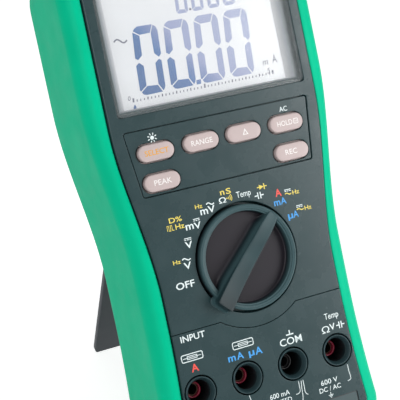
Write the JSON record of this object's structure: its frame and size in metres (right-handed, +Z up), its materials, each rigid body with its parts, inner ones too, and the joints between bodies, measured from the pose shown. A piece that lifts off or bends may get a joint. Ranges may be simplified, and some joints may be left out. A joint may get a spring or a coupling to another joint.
{
  "type": "digital multimeter",
  "caption": "Handheld digital multimeter in a green rubber holster, leaning back on a folding tilt stand, with a rotary selector, pill-shaped keys and shrouded 4 mm input jacks.",
  "frame": {"origin": "centre of the footprint on the bench, at the bottom of the bounding box", "axes": "+Z up, +X to the right across the face, +Y to the rear; the face looks towards -Y and leans back 27.7 degrees"},
  "size_m": [0.097, 0.1258, 0.191],
  "materials": {
    "holster_rubber": "satin moulded rubber",
    "face_plastic": "fine matt texture",
    "case_plastic": "matt",
    "key_plastic": "satin",
    "knob_plastic": "satin",
    "stand_plastic": "matt",
    "lens_clear": "polished",
    "bezel_plastic": "satin",
    "display_glass": "gloss",
    "light_plastic": "satin",
    "acetal_plastic": "satin",
    "board_laminate": "lacquered",
    "chip_epoxy": "matt",
    "key_silicone": "satin",
    "seal_rubber": "satin",
    "contact_brass": "gold flashed",
    "screw_steel": "zinc plated",
    "sleeve_red": "satin",
    "sleeve_black": "satin",
    "part_lacquer": "lacquered",
    "shunt_alloy": "bare wire",
    "fuse_ceramic": "ceramic",
    "battery_shell": "lacquered",
    "lead_insulation": "satin"
  },
  "bodies": {
    "root": {"holster": "holster_rubber", "front_case": "face_plastic", "input_panel": "face_plastic", "keypad_bezel": "face_plastic", "rear_case": "case_plastic", "case_gasket": "seal_rubber", "battery_door": "case_plastic", "door_screws": "screw_steel", "case_screws": "screw_steel", "display_lens": "lens_clear", "display_bezel": "bezel_plastic", "display_glass": "display_glass", "display_holder": "acetal_plastic", "light_guide": "light_plastic", "connector_strips": "seal_rubber", "display_board": "board_laminate", "processor_chip": "chip_epoxy", "keypad_mat": "key_silicone", "contact_pills": "seal_rubber", "detent_ring": "acetal_plastic", "jack_shrouds": "face_plastic", "sleeve_a": "sleeve_red", "sleeve_ma": "sleeve_red", "sleeve_com": "sleeve_black", "sleeve_v": "sleeve_red", "socket_a": "contact_brass", "socket_ma": "contact_brass", "socket_com": "contact_brass", "socket_v": "contact_brass", "main_board": "board_laminate", "contact_tracks": "contact_brass", "board_screws": "screw_steel", "measuring_chip": "chip_epoxy", "input_protection": "part_lacquer", "input_resistors": "part_lacquer", "capacitors": "part_lacquer", "current_shunt": "shunt_alloy", "fuse_large": "fuse_ceramic", "fuse_small": "fuse_ceramic", "fuse_clips": "contact_brass", "battery": "battery_shell", "battery_snap": "seal_rubber", "battery_leads": "lead_insulation", "buzzer": "chip_epoxy", "shield_plate": "screw_steel"},
    "selector": {"selector_knob": "knob_plastic", "knob_shaft": "acetal_plastic", "knob_seal": "seal_rubber", "contact_rotor": "acetal_plastic", "rotor_contacts": "contact_brass", "detent_carrier": "acetal_plastic", "detent_springs": "screw_steel", "detent_balls": "screw_steel"},
    "stand": {"tilt_stand": "stand_plastic"},
    "button_mode": {"button_mode": "key_plastic"},
    "button_range": {"button_range": "key_plastic"},
    "button_relative": {"button_relative": "key_plastic"},
    "button_hold": {"button_hold": "key_plastic"},
    "button_peak": {"button_peak": "key_plastic"},
    "button_record": {"button_record": "key_plastic"}
  },
  "joints": [
    {"name": "selector_turn", "type": "hinge", "parent": "root", "child": "selector", "pos_m": [0, -0.02988, 0.08617], "axis": [0, -0.8854, 0.4648], "range_deg": [-18, 144]},
    {"name": "stand_fold", "type": "hinge", "parent": "root", "child": "stand", "pos_m": [0, 0.02062, 0.09252], "axis": [1, 0, 0], "range_deg": [-45.7, 0]},
    {"name": "mode_press", "type": "slide", "parent": "root", "child": "button_mode", "axis": [0, 0.8854, -0.4648], "range_m": [0, 0.0009], "stiffness_N_per_m": 400, "springref_m": -0.0005},
    {"name": "range_press", "type": "slide", "parent": "root", "child": "button_range", "axis": [0, 0.8854, -0.4648], "range_m": [0, 0.0009], "stiffness_N_per_m": 400, "springref_m": -0.0005},
    {"name": "relative_press", "type": "slide", "parent": "root", "child": "button_relative", "axis": [0, 0.8854, -0.4648], "range_m": [0, 0.0009], "stiffness_N_per_m": 400, "springref_m": -0.0005},
    {"name": "hold_press", "type": "slide", "parent": "root", "child": "button_hold", "axis": [0, 0.8854, -0.4648], "range_m": [0, 0.0009], "stiffness_N_per_m": 400, "springref_m": -0.0005},
    {"name": "peak_press", "type": "slide", "parent": "root", "child": "button_peak", "axis": [0, 0.8854, -0.4648], "range_m": [0, 0.0009], "stiffness_N_per_m": 400, "springref_m": -0.0005},
    {"name": "record_press", "type": "slide", "parent": "root", "child": "button_record", "axis": [0, 0.8854, -0.4648], "range_m": [0, 0.0009], "stiffness_N_per_m": 400, "springref_m": -0.0005}
  ]
}
